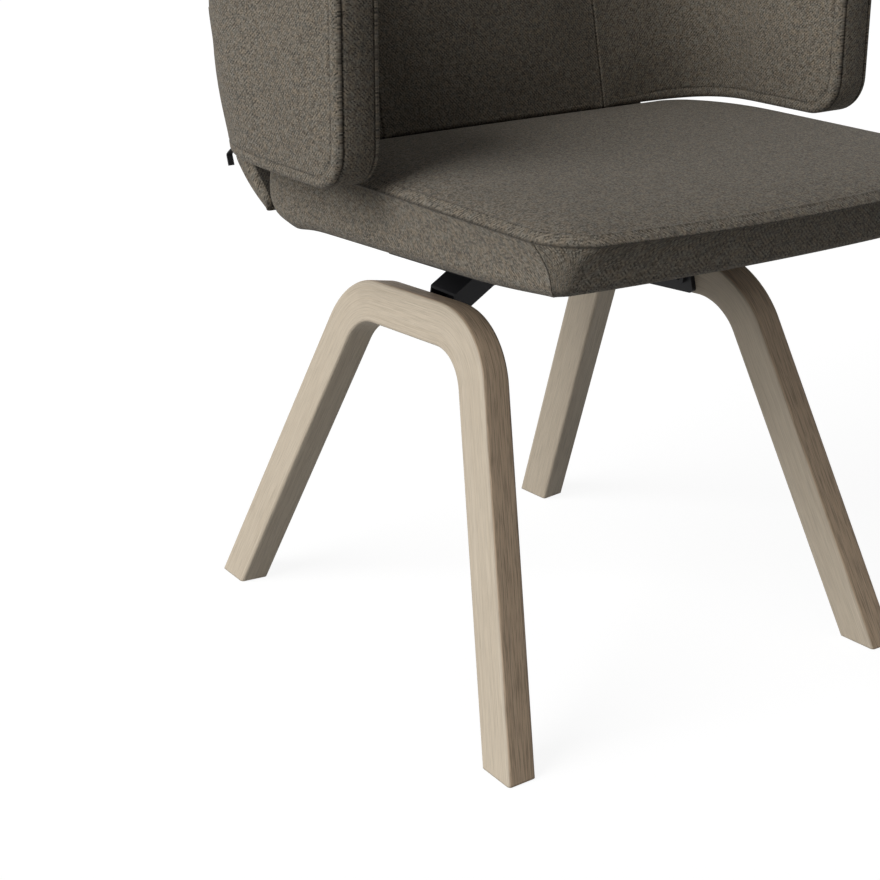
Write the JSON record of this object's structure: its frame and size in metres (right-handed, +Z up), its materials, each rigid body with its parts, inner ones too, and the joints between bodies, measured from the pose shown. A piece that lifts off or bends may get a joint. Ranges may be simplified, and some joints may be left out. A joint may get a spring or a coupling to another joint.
{
  "type": "dining armchair",
  "caption": "Upholstered dining armchair on bent-wood side frames, with a seat that glides forwards as the back leans.",
  "frame": {"origin": "middle of the chair's bounding box, on the floor", "axes": "+Z up, the chair faces -Y, and X = 0 is its plane of symmetry"},
  "size_m": [0.5938, 0.6092, 0.842],
  "materials": {
    "whitewashed_oak": "whitewashed matt lacquer over bent oak laminate",
    "black_steel": "fine matt black powder coat",
    "zinc_steel": "zinc plate",
    "bright_rod": "ground and polished rod",
    "black_nylon": "moulded nylon",
    "birch_ply": "raw birch plywood",
    "cover_cloth": "black non-woven cloth",
    "taupe_fabric": "taupe melange wool weave"
  },
  "bodies": {
    "base": {"left_leg_frame": "whitewashed_oak", "right_leg_frame": "whitewashed_oak", "foot_glides": "black_nylon", "cross_beam": "black_steel", "left_flange": "black_steel", "right_flange": "black_steel", "leg_inserts": "zinc_steel", "leg_bolts": "black_steel", "glide_base": "black_steel", "rod_blocks": "black_steel", "guide_rods": "bright_rod", "cam_plates": "black_steel"},
    "seat": {"seat_carriage": "black_steel", "bush_blocks": "black_steel", "rod_bushes": "black_nylon", "hinge_pins": "zinc_steel", "seat_pan": "birch_ply", "seat_screws": "zinc_steel", "underside_cover": "cover_cloth", "seat_cushion": "taupe_fabric"},
    "back": {"back_brackets": "black_steel", "follower_rollers": "zinc_steel", "back_screws": "zinc_steel", "back_tail": "taupe_fabric", "back_panel": "taupe_fabric", "left_arm": "taupe_fabric", "right_arm": "taupe_fabric", "rear_tab": "cover_cloth"}
  },
  "joints": [
    {"name": "seat_glide", "type": "slide", "parent": "base", "child": "seat", "axis": [0, -0.9992, 0.0401], "range_m": [0, 0.05]},
    {"name": "back_recline", "type": "hinge", "parent": "seat", "child": "back", "pos_m": [0, 0.085, 0.39482], "axis": [-1, 0, 0], "range_deg": [0, 10]}
  ],
  "couplings": [
    {"joint": "back_recline", "follows": "seat_glide", "rad_per_m": 3.4907}
  ]
}
